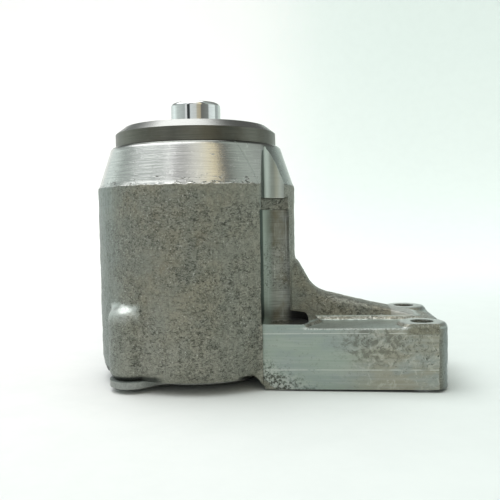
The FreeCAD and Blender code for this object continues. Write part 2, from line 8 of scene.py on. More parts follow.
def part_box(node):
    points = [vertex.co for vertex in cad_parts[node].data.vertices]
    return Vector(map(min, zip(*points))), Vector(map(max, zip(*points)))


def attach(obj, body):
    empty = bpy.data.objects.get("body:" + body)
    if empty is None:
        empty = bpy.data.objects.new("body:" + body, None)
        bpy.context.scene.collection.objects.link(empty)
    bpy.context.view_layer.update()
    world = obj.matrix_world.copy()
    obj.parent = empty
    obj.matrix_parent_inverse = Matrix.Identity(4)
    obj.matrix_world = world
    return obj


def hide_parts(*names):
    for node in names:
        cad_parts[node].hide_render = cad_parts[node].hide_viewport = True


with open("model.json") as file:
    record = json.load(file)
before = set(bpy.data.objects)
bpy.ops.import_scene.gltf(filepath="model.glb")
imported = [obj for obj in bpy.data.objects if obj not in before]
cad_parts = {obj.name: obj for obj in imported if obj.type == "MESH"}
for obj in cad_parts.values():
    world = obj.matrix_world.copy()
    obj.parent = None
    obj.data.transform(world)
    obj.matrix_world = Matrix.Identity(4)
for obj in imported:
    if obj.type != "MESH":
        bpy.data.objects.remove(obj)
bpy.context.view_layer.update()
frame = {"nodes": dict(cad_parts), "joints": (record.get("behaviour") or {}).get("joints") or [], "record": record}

# Fan bracket: materials, the cast skin of the housing, the studio and the camera.
# Lengths in this file are millimetres about the fan shaft's axis, as the parts are drawn, unless a name
# says otherwise. A point in the frame is in metres, with the origin at the foot bolts' centre.

MM = 0.001

# Sizes read from the frame
fan_axis = next(j["pos_m"] for j in frame["joints"] if j["name"] == "fan_spin")
AXIS_X = fan_axis[0] / MM
MOUNTS = {mount["name"]: mount for mount in frame["record"]["mounts"]}


def node_top(node):
    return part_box(node)[1].z / MM


bolt_dims = MOUNTS["foot_bolts"]["dims"]
BOLT_Y = bolt_dims["spacing_y_mm"] / 2
NEAR_BOLT_X = -bolt_dims["spacing_x_mm"] / 2 - AXIS_X
FAR_BOLT_X = bolt_dims["spacing_x_mm"] / 2 - AXIS_X
BOLT_HOLE_RADIUS = bolt_dims["hole_r_mm"]
BARREL_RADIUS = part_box("housing")[1].y / MM
BORE_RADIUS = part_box("front_outer_ring")[1].y / MM
NOSE_TOP = node_top("housing")
FOOT_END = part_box("housing")[1].x / MM - AXIS_X
MILLED_SIDE = -MOUNTS["side_face"]["pos_m"][1] / MM
HUB_FACE = node_top("fan_hub")

# Heights, radii and places of the machined faces, as on the casting
NOSE_BOTTOM = 94.0
PAD_HEIGHT = 30.0
LEDGE_HEIGHT = 28.0
REAR_FACE = 5.8
SPOTFACE_RADIUS = 12.3
ACCESS_TOP = 82.3
CAST_BAND_TOP = 87.7
NOSE_SLOT_RADIUS = 8.3
NOSE_SLOT_Y = BOLT_Y + 1.4
HUB_RIM_TOP = HUB_FACE - 3.5
MILLED_START = 33.8
MILLED_END = 113.6
MILLING_STEPS = (25.7, 9.1)
HIGH_CAST = 25.2
NOSE_TOP_RADIUS = 42.5
NOSE_HALF_ANGLE = 18.5
NOSE_EDGE_BREAK = 0.8
BOSS_ANGLES = (233.5, 113.5)
BOSS_CIRCLE = 44.0
BOSS_RADIUS = 10.6
BOSS_TOP = 39.5

# Marks: heights between which the bolt access is pitted, and the middle of the scuffs on the milled side
PITTED = (44.0, 66.0)
SCUFFED = (84.0, 19.5)

# Settings for the casting's finer mesh
EDGE = 0.03
MERGE_DISTANCE = 0.001
SLIVER_WIDTH = 0.03
RELIEF_STEP = 1.7
SPLIT_ROUNDS = 7
CASTING_FACES = 190000
FACET_DEPTH = 0.6
FACING = 0.92
SHARP_ANGLE = math.radians(28)


# Shader arithmetic


class Field:
    """A socket of a material's node tree that can be used in sums."""

    def __init__(self, tree, socket):
        self.tree = tree
        self.socket = socket

    def node(self, kind, settings=None, inputs=None, output=0):
        return add_node(self.tree, kind, settings, inputs, output)

    def math(self, operation, *others):
        inputs = dict(enumerate((self, *others)))
        return self.node("ShaderNodeMath", {"operation": operation}, inputs)

    def __add__(self, other):
        return self.math("ADD", other)

    def __radd__(self, other):
        return self.math("ADD", other)

    def __sub__(self, other):
        return self.math("SUBTRACT", other)

    def __rsub__(self, other):
        return add_node(self.tree, "ShaderNodeMath", {"operation": "SUBTRACT"}, {0: other, 1: self})

    def __mul__(self, other):
        return self.math("MULTIPLY", other)

    def __rmul__(self, other):
        return self.math("MULTIPLY", other)

    def __truediv__(self, other):
        return self.math("DIVIDE", other)

    def __pow__(self, other):
        return self.math("POWER", other)

    def __abs__(self):
        return self.math("ABSOLUTE")

    def lowest(self, other):
        return self.math("MINIMUM", other)

    def highest(self, other):
        return self.math("MAXIMUM", other)

    def rise(self, low, high, bottom=0.0, top=1.0):
        """Smooth step from bottom to top as the value goes from low to high."""
        inputs = {"Value": self, "From Min": low, "From Max": high, "To Min": bottom, "To Max": top}
        return self.node("ShaderNodeMapRange", {"interpolation_type": "SMOOTHSTEP"}, inputs)


def add_node(tree, kind, settings=None, inputs=None, output=0):
    """Adds one node: its settings first, then the values or links of its sockets."""
    node = tree.nodes.new(kind)
    for name, value in (settings or {}).items():
        if name == "stops":
            set_stops(node.color_ramp, value)
        else:
            setattr(node, name, value)
    for name, value in (inputs or {}).items():
        if isinstance(value, Field):
            tree.links.new(value.socket, node.inputs[name])
        else:
            node.inputs[name].default_value = value
    return Field(tree, node.outputs[output])


def set_stops(ramp, stops):
    while len(ramp.elements) < len(stops):
        ramp.elements.new(1.0)
    for element, (position, colour) in zip(ramp.elements, stops):
        element.position = position
        element.color = (*colour, 1.0)


class Finish:
    """A material under construction, with its places in millimetres about the fan shaft."""

    def __init__(self, name, **constants):
        self.material = bpy.data.materials.new(name)
        self.material.use_nodes = True
        self.tree = self.material.node_tree
        self.shader = self.tree.nodes["Principled BSDF"]
        for socket, value in constants.items():
            self.shader.inputs[socket.replace("_", " ")].default_value = value
        coordinates = self.node("ShaderNodeTexCoord", output="Object")
        inputs = {0: coordinates, 1: (1 / MM, 1 / MM, 1 / MM), 2: (-AXIS_X, 0, 0)}
        self.place = self.node("ShaderNodeVectorMath", {"operation": "MULTIPLY_ADD"}, inputs)
        self.x = self.part(self.place, "X")
        self.y = self.part(self.place, "Y")
        self.z = self.part(self.place, "Z")
        self.radius = self.distance(0, 0)

    def node(self, kind, settings=None, inputs=None, output=0):
        return add_node(self.tree, kind, settings, inputs, output)

    def part(self, vector, axis):
        return self.node("ShaderNodeSeparateXYZ", None, {0: vector}, axis)

    def distance(self, x, y):
        """Distance from the upright line through a point."""
        return ((self.x - x) * (self.x - x) + (self.y - y) * (self.y - y)) ** 0.5

    def stretched(self, x, y, z):
        return self.node("ShaderNodeVectorMath", {"operation": "MULTIPLY"}, {0: self.place, 1: (x, y, z)})

    def noise(self, size, detail=2.0, roughness=0.5, place=None, distortion=0.0):
        """Cloudy noise whose lumps are about the given size, from 0 to 1."""
        inputs = {"Vector": place or self.place, "Scale": 1 / size, "Detail": detail}
        inputs.update({"Roughness": roughness, "Distortion": distortion})
        return self.node("ShaderNodeTexNoise", None, inputs)

    def blend(self, mask, low, high):
        """Mixes two colours or colour fields by a mask."""
        inputs = {0: mask, 6: self.colour(low), 7: self.colour(high)}
        return self.node("ShaderNodeMix", {"data_type": "RGBA"}, inputs, 2)

    def shade(self, mask, colour):
        """Multiplies a colour by a grey field."""
        inputs = {0: 1.0, 6: colour, 7: mask}
        return self.node("ShaderNodeMix", {"data_type": "RGBA", "blend_type": "MULTIPLY"}, inputs, 2)

    def mix(self, mask, low, high):
        """Mixes two numbers by a mask."""
        return mask * high + (1 - mask) * low

    def colour(self, value):
        return value if isinstance(value, Field) else (*value, 1.0)

    def bump(self, height, depth, normal=None, strength=1.0):
        """A dented normal from a height field, whose depth is in millimetres."""
        inputs = {"Strength": strength, "Distance": depth * MM, "Height": height}
        if normal is not None:
            inputs["Normal"] = normal
        return self.node("ShaderNodeBump", None, inputs)

    def wire(self, **fields):
        for socket, value in fields.items():
            target = self.shader.inputs[socket.replace("_", " ")]
            if isinstance(value, Field):
                self.tree.links.new(value.socket, target)
            else:
                target.default_value = value
        return self.material


# Materials


def boss_crown_highlights(finish):
    """Mask of the rounded tops of the two screw bosses, where a highlight is painted bright and the skin is made
    less rough.
    """
    crown_highlights = 0
    ragged = (finish.noise(1.6, 4, 0.8) - 0.5) * 5
    for angle in BOSS_ANGLES:
        turn = math.radians(angle)
        reach = finish.distance(BOSS_CIRCLE * math.cos(turn), BOSS_CIRCLE * math.sin(turn))
        crown_highlights = (reach + ragged * 0.5).rise(BOSS_RADIUS + 1.2, BOSS_RADIUS - 1.5) + crown_highlights
    height = finish.z + ragged
    crown_highlights = crown_highlights * height.rise(BOSS_TOP - 9.5, BOSS_TOP - 4.0)
    return crown_highlights * height.rise(BOSS_TOP + 2.0, BOSS_TOP - 0.5)


def level_tops_and_sheen(finish):
    """The foot's ledge and pads, which face up, are cast smoother than the rest and are painted lighter as a
    painted reflection.
    """
    ledge = abs(finish.z - LEDGE_HEIGHT).rise(0.55, 0.35)
    pads = finish.z.rise(PAD_HEIGHT - 0.5, PAD_HEIGHT - 0.1)
    pads = pads * finish.z.rise(PAD_HEIGHT + 0.5, PAD_HEIGHT + 0.1)
    beyond = finish.x.rise(BARREL_RADIUS - 2, BARREL_RADIUS + 2)
    behind_edge = (finish.y + MILLED_SIDE).rise(0.2, 0.8)
    return ledge.highest(pads) * beyond * behind_edge


def cast_skin(finish):
    """Colour, roughness, metallic and height of the sand-cast skin; its colour also holds painted light, shade,
    highlights and glints.
    """
    clouds = finish.noise(15, 3, 0.6)
    rust = finish.noise(11, 4, 0.65, finish.stretched(1, 1, 0.7))
    flat = finish.stretched(0.6, 0.6, 1.25)
    creases = abs(finish.noise(1.5, 3, 0.6, flat, 0.4) - 0.5).rise(0.050, 0.010)
    creases = creases * finish.noise(2.2, 3, 0.6).rise(0.40, 0.60)
    grain = finish.noise(0.95, 4, 0.85, finish.stretched(0.85, 0.85, 1.1))
    specks = finish.noise(0.85, 3, 0.8)
    lumps = finish.noise(3.4, 3, 0.6)
    crown_highlight = boss_crown_highlights(finish)
    level = level_tops_and_sheen(finish)
    # Painted light: the left front of the barrel is painted lighter and less grainy.
    left = finish.x.rise(-22, -42) * finish.y.rise(10, -5)
    end = finish.x.rise(FOOT_END - 6, FOOT_END - 1.5)
    smooth = crown_highlight.highest(level * 0.8).highest(end * 0.85)
    coarse = finish.noise(19, 2).rise(0.36, 0.56, 0.55, 1) * (1 - smooth * 0.75)
    coarse = coarse * finish.mix(left, 1.0, 0.7)
    body = finish.blend(clouds.rise(0.35, 0.65), (0.230, 0.240, 0.204), (0.255, 0.248, 0.194))
    body = finish.blend(rust.rise(0.54, 0.78, 0, 0.5), body, (0.175, 0.140, 0.088))
    # Painted light: the casting is painted lighter low down and right of the barrel's middle, short of its right
    # edge.
    pale = finish.z.rise(50, 8).highest(finish.x.rise(5, 30))
    pale = pale * finish.x.rise(BARREL_RADIUS, BARREL_RADIUS - 6)
    body = finish.blend(pale * 0.6, body, (0.315, 0.318, 0.272))
    body = finish.blend(left * 0.8, body, (0.235, 0.275, 0.262))
    body = finish.blend(lumps.rise(0.55, 0.35) * coarse * 0.35, body, (0.120, 0.132, 0.110))
    body = finish.blend(end * 0.9, body, (0.215, 0.245, 0.240))
    # Painted reflection: the ledge and pads are painted a lighter blue grey.
    body = finish.blend(level * 0.85, body, (0.370, 0.430, 0.400))
    # Painted highlight: the fillet just above the ledge gets more bright specks.
    fillet_highlight = abs(finish.z - LEDGE_HEIGHT - 1.4).rise(1.3, 0.7)
    fillet_highlight = fillet_highlight * finish.x.rise(NEAR_BOLT_X + 10, NEAR_BOLT_X + 14)
    # Painted highlight: the crowns of the two bosses are painted light grey.
    body = finish.blend(crown_highlight * 0.9, body, (0.470, 0.510, 0.485))
    body = finish.blend(grain.rise(0.54, 0.36) * coarse * 0.72, body, (0.060, 0.065, 0.052))
    body = finish.blend(creases * coarse * 0.75, body, (0.030, 0.032, 0.026))
    # Bright specks with more metal and less roughness; their light colour is a painted glint.
    sparkle = (specks + fillet_highlight * 0.10).rise(0.58, 0.70) * finish.mix(crown_highlight, coarse, 1.0)
    body = finish.blend(sparkle * 0.62, body, (0.60, 0.61, 0.57))
    # Painted shade: the lowest few millimetres of the left front, just above the rear face, are painted nearly
    # black.
    under = finish.x.rise(-8, -14) * finish.y.rise(0, -10)
    under = under * finish.z.rise(REAR_FACE + 3.2, REAR_FACE + 1.6)
    body = finish.blend(under * 0.85, body, (0.020, 0.026, 0.024))
    roughness = finish.mix(smooth.highest(sparkle), 0.46, 0.34)
    metallic = finish.mix(sparkle, 0.80, 0.95)
    height = (grain * 0.35 + specks * 0.2 - creases * 0.25) * coarse + lumps * 0.3
    return body, roughness, metallic, height


def turned_skin(finish):
    """The turned nose: fine horizontal feed marks with some torn grain at its lower border, and painted shade from
    the bolt slot rightwards and on its top edge break.
    """
    feed = finish.noise(0.35, 3, 0.6, finish.stretched(0.02, 0.02, 1))
    tears = finish.noise(1.5, 4, 0.75, finish.stretched(0.4, 0.4, 1.2))
    low = finish.z.rise(NOSE_BOTTOM + 6.0, NOSE_BOTTOM + 0.5)
    torn = (tears + low * 0.10).rise(0.64, 0.70)
    scratches = finish.noise(2.2, 4, 0.75, finish.stretched(1, 1, 0.35), 0.5)
    tone = finish.blend(feed.rise(0.3, 0.7), (0.48, 0.49, 0.475), (0.58, 0.59, 0.57))
    # Painted shade: the nose is painted darker from just left of the bolt slot to the right.
    tone = finish.blend(finish.x.rise(NEAR_BOLT_X - 9, NEAR_BOLT_X - 7), tone, (0.20, 0.22, 0.205))
    tone = finish.blend(scratches.rise(0.60, 0.68) * 0.30, tone, (0.90, 0.91, 0.88))
    tone = finish.blend(scratches.rise(0.36, 0.28) * 0.35, tone, (0.22, 0.24, 0.22))
    tone = finish.blend(torn * 0.8, tone, (0.10, 0.105, 0.09))
    # Painted shade: the edge break round the top of the nose is painted dark.
    edge_break = finish.z.rise(NOSE_TOP - NOSE_EDGE_BREAK - 0.05, NOSE_TOP - NOSE_EDGE_BREAK + 0.05)
    tone = finish.blend(edge_break, tone, (0.12, 0.125, 0.115))
    height = feed * 0.9 + tears * 0.4 - torn * 0.8 + scratches * 0.4
    return tone, finish.mix(feed, 0.12, 0.20), 1.0, height


def milled_skin(finish):
    """The milled side: smooth grey, warmer and more pitted towards the far end."""
    passes = finish.noise(1.1, 3, 0.6, finish.stretched(0.04, 1, 1))
    stains = finish.noise(13, 4, 0.65, finish.stretched(0.6, 1, 1.2))
    pits = finish.noise(1.5, 4, 0.8)
    scuffs = finish.noise(4.0, 5, 0.75, None, 0.9)
    far = (finish.x + (stains - 0.5) * 30).rise(FAR_BOLT_X - 45, FAR_BOLT_X - 18)
    tone = finish.blend(far, (0.290, 0.345, 0.300), (0.300, 0.295, 0.238))
    tone = finish.blend(stains.rise(0.42, 0.62) * 0.6, tone, (0.262, 0.310, 0.308))
    tone = finish.blend(passes.rise(0.40, 0.66) * 0.30, tone, (0.42, 0.44, 0.41))
    upper = (finish.z + (stains - 0.5) * 20).rise(6, 16) * far
    along = (finish.x - SCUFFED[0]) / 19
    up = (finish.z - SCUFFED[1]) / 9
    patch = (along * along + up * up).rise(1.3, 0.2)
    tone = finish.blend(scuffs.rise(0.53, 0.62) * far * 0.45, tone, (0.50, 0.50, 0.45))
    worn = (scuffs - patch * 0.06).rise(0.46, 0.38) * upper.highest(patch)
    tone = finish.blend(worn * 0.65, tone, (0.12, 0.122, 0.098))
    corner = (finish.x - MILLED_START) * 0.8 + finish.z * 1.3
    torn = corner.rise(26, 9)
    hollow = (pits + torn * 0.11).rise(0.58, 0.66) * finish.mix(upper.highest(torn), 0.25, 0.95)
    tone = finish.blend(torn * pits.rise(0.50, 0.44) * 0.7, tone, (0.50, 0.52, 0.48))
    tone = finish.blend(hollow, tone, (0.070, 0.072, 0.058))
    step = milling_steps(finish)
    tone = finish.blend(step * 0.8, tone, (0.62, 0.64, 0.61))
    chipped = finish.noise(1.8, 3, 0.7)
    burr = (finish.x + chipped * 0.8).rise(MILLED_END - 0.2, MILLED_END + 0.2) * chipped.rise(0.36, 0.52)
    tone = finish.blend(burr * 0.7, tone, (0.66, 0.67, 0.62))
    height = passes * 0.2 - hollow * 0.8 + step * 0.3 + scuffs * far * 0.2
    return tone, finish.mix(far, 0.40, 0.48), 0.7, height


def milling_steps(finish):
    """The two thin bright lines where one pass of the cutter ends and the next begins."""
    wave = (finish.noise(30, 2) - 0.5) * 0.25
    lines = [abs(finish.z - height + wave).rise(0.20, 0.08) for height in MILLING_STEPS]
    return lines[0].highest(lines[1]) * finish.noise(6, 3, 0.6).rise(0.35, 0.5)


def bored_skin(finish):
    """Bored and spotfaced places: rings round the tool's axis, stained brown and green, with a painted highlight
    along the cut's left side, painted shade on its left edge and a painted shadow low on its right wall.
    """
    rings = finish.noise(0.5, 3, 0.6, finish.stretched(0.03, 0.03, 1))
    stains = finish.noise(9, 4, 0.65, finish.stretched(1, 1, 0.6))
    streaks = finish.noise(1.3, 3, 0.6, finish.stretched(1, 1, 0.04))
    pits = finish.noise(1.1, 4, 0.8)
    slot = finish.z.rise(CAST_BAND_TOP - 0.5, CAST_BAND_TOP)
    tone = finish.blend(rings.rise(0.3, 0.7), (0.160, 0.170, 0.150), (0.285, 0.295, 0.265))
    tone = finish.blend(stains.rise(0.44, 0.66, 0, 0.75), tone, (0.135, 0.126, 0.088))
    tone = finish.blend(streaks.rise(0.58, 0.68) * 0.45, tone, (0.46, 0.48, 0.44))
    left = NEAR_BOLT_X - SPOTFACE_RADIUS
    # Painted highlight: a lighter band along the cut's left side, inside the dark edge line.
    tone = finish.blend(finish.x.rise(left + 8.5, left + 5.0) * 0.6, tone, (0.31, 0.37, 0.32))
    tone = finish.blend(slot * 0.7, tone, (0.47, 0.51, 0.47))
    worn = finish.z.rise(PITTED[0] - 3, PITTED[0] + 2) * (1 - slot)
    worn = worn * finish.z.rise(PITTED[1] + 3, PITTED[1] - 2)
    tone = finish.blend(worn * pits.rise(0.53, 0.62) * 0.75, tone, (0.060, 0.060, 0.050))
    tone = finish.blend(worn * pits.rise(0.42, 0.34) * 0.5, tone, (0.50, 0.51, 0.47))
    # Painted shade: a thin dark line along the cut's left edge and the slot's.
    edge = finish.x.rise(left + 3.8, left + 3.2).highest(slot * finish.x.rise(left + 5.0, left + 4.6))
    tone = finish.blend(edge * 0.9, tone, (0.035, 0.050, 0.042))
    # Painted shadow: the low right part of the spotface wall is painted nearly black.
    corner = finish.x.rise(NEAR_BOLT_X + 1, NEAR_BOLT_X + 5)
    corner = corner * finish.z.rise(PAD_HEIGHT + 7, PAD_HEIGHT + 4)
    tone = finish.blend(corner * (1 - slot) * 0.85, tone, (0.030, 0.028, 0.032))
    return tone, finish.mix(rings, 0.26, 0.40), 0.85, rings * 0.5 - worn * pits * 1.5


def near_bolt_masks(finish):
    """Where the bolt tools cut: the spotface with the wall above it, and the slot up through the nose."""
    side = abs(finish.y)
    along = finish.x - NEAR_BOLT_X
    low = (along * along + (side - BOLT_Y) * (side - BOLT_Y)) ** 0.5
    inward = (side - NOSE_SLOT_Y).lowest(0)
    high = (along * along + inward * inward) ** 0.5
    wobble = (finish.noise(1.4, 3) - 0.5) * 0.8
    cut = low.rise(SPOTFACE_RADIUS + 0.12, SPOTFACE_RADIUS + 0.05)
    cut = cut * (finish.z + wobble).rise(ACCESS_TOP + 0.2, ACCESS_TOP - 0.2)
    cut = cut * finish.z.rise(PAD_HEIGHT - 0.2, PAD_HEIGHT - 0.1)
    slot = high.rise(NOSE_SLOT_RADIUS + 0.12, NOSE_SLOT_RADIUS + 0.05)
    slot = slot * (finish.z + wobble).rise(CAST_BAND_TOP - 0.2, CAST_BAND_TOP + 0.2)
    return cut.highest(slot)


def milled_mask(finish):
    """The milled plane, less the corners that the cutter didn't clean up."""
    plane = abs(finish.y + MILLED_SIDE).rise(0.08, 0.04)
    ragged = (finish.noise(2.2, 4, 0.75) - 0.5) * 7
    low_corner = (finish.x - MILLED_START) * 0.9 + finish.z + ragged
    high_corner = (finish.x - FAR_BOLT_X + 8) * 1.5 + finish.z + ragged * 0.3
    high = (finish.z + ragged * 0.25).rise(HIGH_CAST - 0.3, HIGH_CAST + 0.3)
    high = high * finish.x.rise(FAR_BOLT_X - 9, FAR_BOLT_X - 6)
    return plane * low_corner.rise(5.0, 5.8) * (1 - high) * high_corner.rise(47.5, 46.5)


def ledge_edge(finish):
    """The bright chipped edge where the ledge meets the milled side."""
    across = (finish.y + MILLED_SIDE).rise(0.9, 0.3)
    level = abs(finish.z - LEDGE_HEIGHT).rise(0.9, 0.3)
    chips = finish.noise(0.9, 3, 0.7).rise(0.40, 0.56)
    reach = finish.x.rise(NEAR_BOLT_X + 8, NEAR_BOLT_X + 12)
    reach = reach * finish.x.rise(FAR_BOLT_X - 5, FAR_BOLT_X - 9)
    return across * level * chips * reach


def iron_material():
    finish = Finish("cast_iron_machined", Specular_IOR_Level=0.5)
    z, radius = finish.z, finish.radius
    wobble = (finish.noise(2.6, 4, 0.7) - 0.5) * 2.4
    nose = (z + wobble).rise(NOSE_BOTTOM - 0.3, NOSE_BOTTOM + 0.3)
    bore = radius.rise(BORE_RADIUS + 2.1, BORE_RADIUS + 1.9)
    tool = near_bolt_masks(finish).highest(bore)
    base = z.rise(0.15, 0.05)
    pad_top = z.rise(PAD_HEIGHT - 0.10, PAD_HEIGHT - 0.04)
    pad_top = pad_top * finish.x.rise(FAR_BOLT_X - 12, FAR_BOLT_X - 11)
    skins = [cast_skin(finish)]
    places = ((nose, turned_skin), (milled_mask(finish), milled_skin), (tool.highest(base), bored_skin))
    for mask, skin in places:
        tone, rough, metal, height = skin(finish)
        below = skins[-1]
        skins.append((
            finish.blend(mask, below[0], tone),
            finish.mix(mask, below[1], rough),
            finish.mix(mask, below[2], metal),
            finish.mix(mask, below[3], height * 0.12),
        ))
    tone, rough, metal, height = skins[-1]
    bright = ledge_edge(finish).highest(pad_top * 0.45)
    tone = finish.blend(bright, tone, (0.62, 0.64, 0.62))
    return finish.wire(Base_Color=tone, Roughness=rough, Metallic=metal, Normal=finish.bump(height, 0.6))


def hub_material():
    """Dark turned steel with fine feed rings and a bevelled edge painted bright as a painted reflection."""
    finish = Finish("hub_turned_steel", Metallic=1.0)
    feed = finish.noise(0.25, 3, 0.6, finish.stretched(0.02, 0.02, 1))
    clouds = finish.noise(9, 3, 0.6)
    tone = finish.blend(feed.rise(0.3, 0.7), (0.105, 0.108, 0.092), (0.150, 0.150, 0.128))
    tone = finish.blend(clouds.rise(0.4, 0.7) * 0.4, tone, (0.095, 0.088, 0.068))
    # Painted reflection: the bevel is painted lighter and made less rough.
    bevel = finish.z.rise(HUB_RIM_TOP - 0.02, HUB_RIM_TOP + 0.1)
    tone = finish.blend(bevel, tone, (0.20, 0.205, 0.195))
    rough = finish.mix(bevel, finish.mix(feed, 0.30, 0.42), 0.26)
    return finish.wire(Base_Color=tone, Roughness=rough, Normal=finish.bump(feed, 0.02))


def shaft_material():
    """Ground steel, nearly a mirror, with the faintest ring marks."""
    finish = Finish("ground_shaft_steel", Metallic=1.0)
    marks = finish.noise(0.3, 2, 0.5, finish.stretched(0.05, 0.05, 1))
    tone = finish.blend(marks.rise(0.3, 0.7), (0.58, 0.60, 0.60), (0.63, 0.65, 0.65))
    rough = finish.mix(marks, 0.05, 0.08)
    return finish.wire(Base_Color=tone, Roughness=rough, Normal=finish.bump(marks, 0.001))


def plain_metal(name, tone, roughness, grain_size, contrast=0.25):
    """A metal with a fine grain and cloudy handling marks."""
    finish = Finish(name, Metallic=1.0)
    grain = finish.noise(grain_size, 3, 0.65)
    clouds = finish.noise(7, 3, 0.6)
    dim = tuple(channel * (1 - contrast) for channel in tone)
    colour = finish.blend(grain.rise(0.35, 0.65), dim, tone)
    colour = finish.blend(clouds.rise(0.5, 0.75) * 0.4, colour, dim)
    rough = finish.mix(clouds, roughness * 0.8, roughness * 1.2)
    return finish.wire(Base_Color=colour, Roughness=rough, Normal=finish.bump(grain, 0.03))


def plain_polymer(name, tone, roughness, grain_size):
    """A moulded or pressed non-metal with a fine grain."""
    finish = Finish(name, Metallic=0.0)
    grain = finish.noise(grain_size, 3, 0.65)
    lifted = tuple(channel * 1.5 for channel in tone)
    colour = finish.blend(grain.rise(0.4, 0.7), tone, lifted)
    rough = finish.mix(grain, roughness * 0.85, roughness * 1.1)
    return finish.wire(Base_Color=colour, Roughness=rough, Normal=finish.bump(grain, 0.05))


def make_materials():
    return {
        "cast_iron": iron_material(),
        "turned_steel": hub_material(),
        "ground_steel": shaft_material(),
        "sheet_steel": plain_metal("rolled_sheet_steel", (0.33, 0.345, 0.325), 0.40, 0.8),
        "dark_steel": plain_metal("blackened_steel", (0.12, 0.12, 0.125), 0.45, 0.6),
        "bearing_steel": plain_metal("bearing_steel", (0.66, 0.67, 0.69), 0.14, 0.4, 0.08),
        "spring_steel": plain_metal("spring_steel", (0.30, 0.31, 0.33), 0.32, 0.6),
        "cage_polymer": plain_polymer("cage_polymer", (0.16, 0.15, 0.13), 0.55, 0.8),
        "seal_rubber": plain_polymer("seal_rubber", (0.035, 0.035, 0.035), 0.6, 0.7),
        "gasket_sheet": plain_polymer("gasket_sheet", (0.14, 0.16, 0.15), 0.85, 0.9),
    }


def finish_nodes(materials):
    slots = {part["node"]: part["material_slot"] for part in frame["record"]["subparts"]}
    for name, obj in frame["nodes"].items():
        for slot in obj.material_slots:
            slot.material = materials[slots[name]]


# The casting's relief: a finer copy of the housing, dented wherever no tool has cut


def is_machined(point):
    """True where a tool has cut the casting, or on the edge of such a place."""
    x, y, z = point.x / MM - AXIS_X, point.y / MM, point.z / MM
    side = abs(y)
    if z < EDGE or z > NOSE_BOTTOM - EDGE or math.hypot(x, y) < BORE_RADIUS + 2:
        return True
    if abs(z - REAR_FACE) < EDGE or abs(y + MILLED_SIDE) < EDGE or abs(z - PAD_HEIGHT) < EDGE:
        return True
    low = math.hypot(x - NEAR_BOLT_X, side - BOLT_Y)
    if low < SPOTFACE_RADIUS + EDGE and PAD_HEIGHT - EDGE < z < ACCESS_TOP + EDGE:
        return True
    if min(low, math.hypot(x - FAR_BOLT_X, side - BOLT_Y)) < BOLT_HOLE_RADIUS + EDGE:
        return True
    high = math.hypot(x - NEAR_BOLT_X, min(side - NOSE_SLOT_Y, 0))
    return high < NOSE_SLOT_RADIUS + EDGE and z > CAST_BAND_TOP - EDGE


def is_flat_or_inside(point):
    """True on the planes that need no finer mesh, and inside the bore and the bolt holes."""
    x, side = point.x / MM - AXIS_X, abs(point.y / MM)
    flat = point.z / MM < EDGE or abs(point.y / MM + MILLED_SIDE) < EDGE
    hole = min(abs(x - NEAR_BOLT_X), abs(x - FAR_BOLT_X))
    in_hole = math.hypot(hole, side - BOLT_Y) < BOLT_HOLE_RADIUS + EDGE
    return flat or in_hole or math.hypot(x, side) < BORE_RADIUS + 2


def split_long_edges(mesh):
    """Halves the long edges, a round at a time, until none is much longer than the relief's step."""
    for _ in range(SPLIT_ROUNDS):
        bpy.ops.object.mode_set(mode="OBJECT")
        plain = [is_flat_or_inside(vertex.co) for vertex in mesh.vertices]
        for element in [*mesh.polygons, *mesh.vertices]:
            element.select = False
        for edge in mesh.edges:
            a, b = edge.vertices
            length = (mesh.vertices[a].co - mesh.vertices[b].co).length
            edge.select = length > RELIEF_STEP * MM and not (plain[a] and plain[b])
        bpy.ops.object.mode_set(mode="EDIT")
        bpy.ops.mesh.select_mode(type="EDGE")
        bpy.ops.mesh.subdivide(number_cuts=1, ngon=False)
        bpy.ops.mesh.select_all(action="SELECT")
        bpy.ops.mesh.quads_convert_to_tris()
    bpy.ops.object.mode_set(mode="OBJECT")


def true_up(vertex, normal, centre_x, centre_y, radius):
    """Puts a vertex from the middle of an upright turned face's facet right on the round."""
    across = Vector((vertex.co.x - (centre_x + AXIS_X) * MM, vertex.co.y - centre_y * MM, 0))
    near = abs(across.length - radius * MM) < FACET_DEPTH * MM
    if near and abs(normal.dot(across.normalized())) > FACING:
        vertex.co += across * (radius * MM / across.length - 1)


def true_up_turned_faces(mesh):
    slope = math.tan(math.radians(NOSE_HALF_ANGLE))
    normals = [entry.vector.copy() for entry in mesh.vertex_normals]
    for vertex, normal in zip(mesh.vertices, normals):
        z = vertex.co.z / MM
        side = math.copysign(1, vertex.co.y)
        if z > NOSE_BOTTOM:
            cone_radius = NOSE_TOP_RADIUS + (NOSE_TOP - NOSE_EDGE_BREAK - z) * slope
            true_up(vertex, normal, 0, 0, cone_radius)
        if PAD_HEIGHT - EDGE < z < ACCESS_TOP + EDGE:
            true_up(vertex, normal, NEAR_BOLT_X, side * BOLT_Y, SPOTFACE_RADIUS)
        if z > CAST_BAND_TOP - EDGE and abs(vertex.co.y) < NOSE_SLOT_Y * MM:
            true_up(vertex, normal, NEAR_BOLT_X, side * NOSE_SLOT_Y, NOSE_SLOT_RADIUS)


def add_relief(obj, name, size, depth):
    """Dents the cast skin by soft noise, with lumps of the given size and depth in millimetres."""
    clouds = bpy.data.textures.new(name, "CLOUDS")
    clouds.noise_scale = size * MM
    clouds.noise_depth = 2
    dents = obj.modifiers.new(name, "DISPLACE")
    dents.texture = clouds
    dents.texture_coords = "LOCAL"
    dents.vertex_group = "cast_skin"
    dents.strength = depth * MM
    dents.mid_level = 0.5
    bpy.ops.object.modifier_apply(modifier=name)


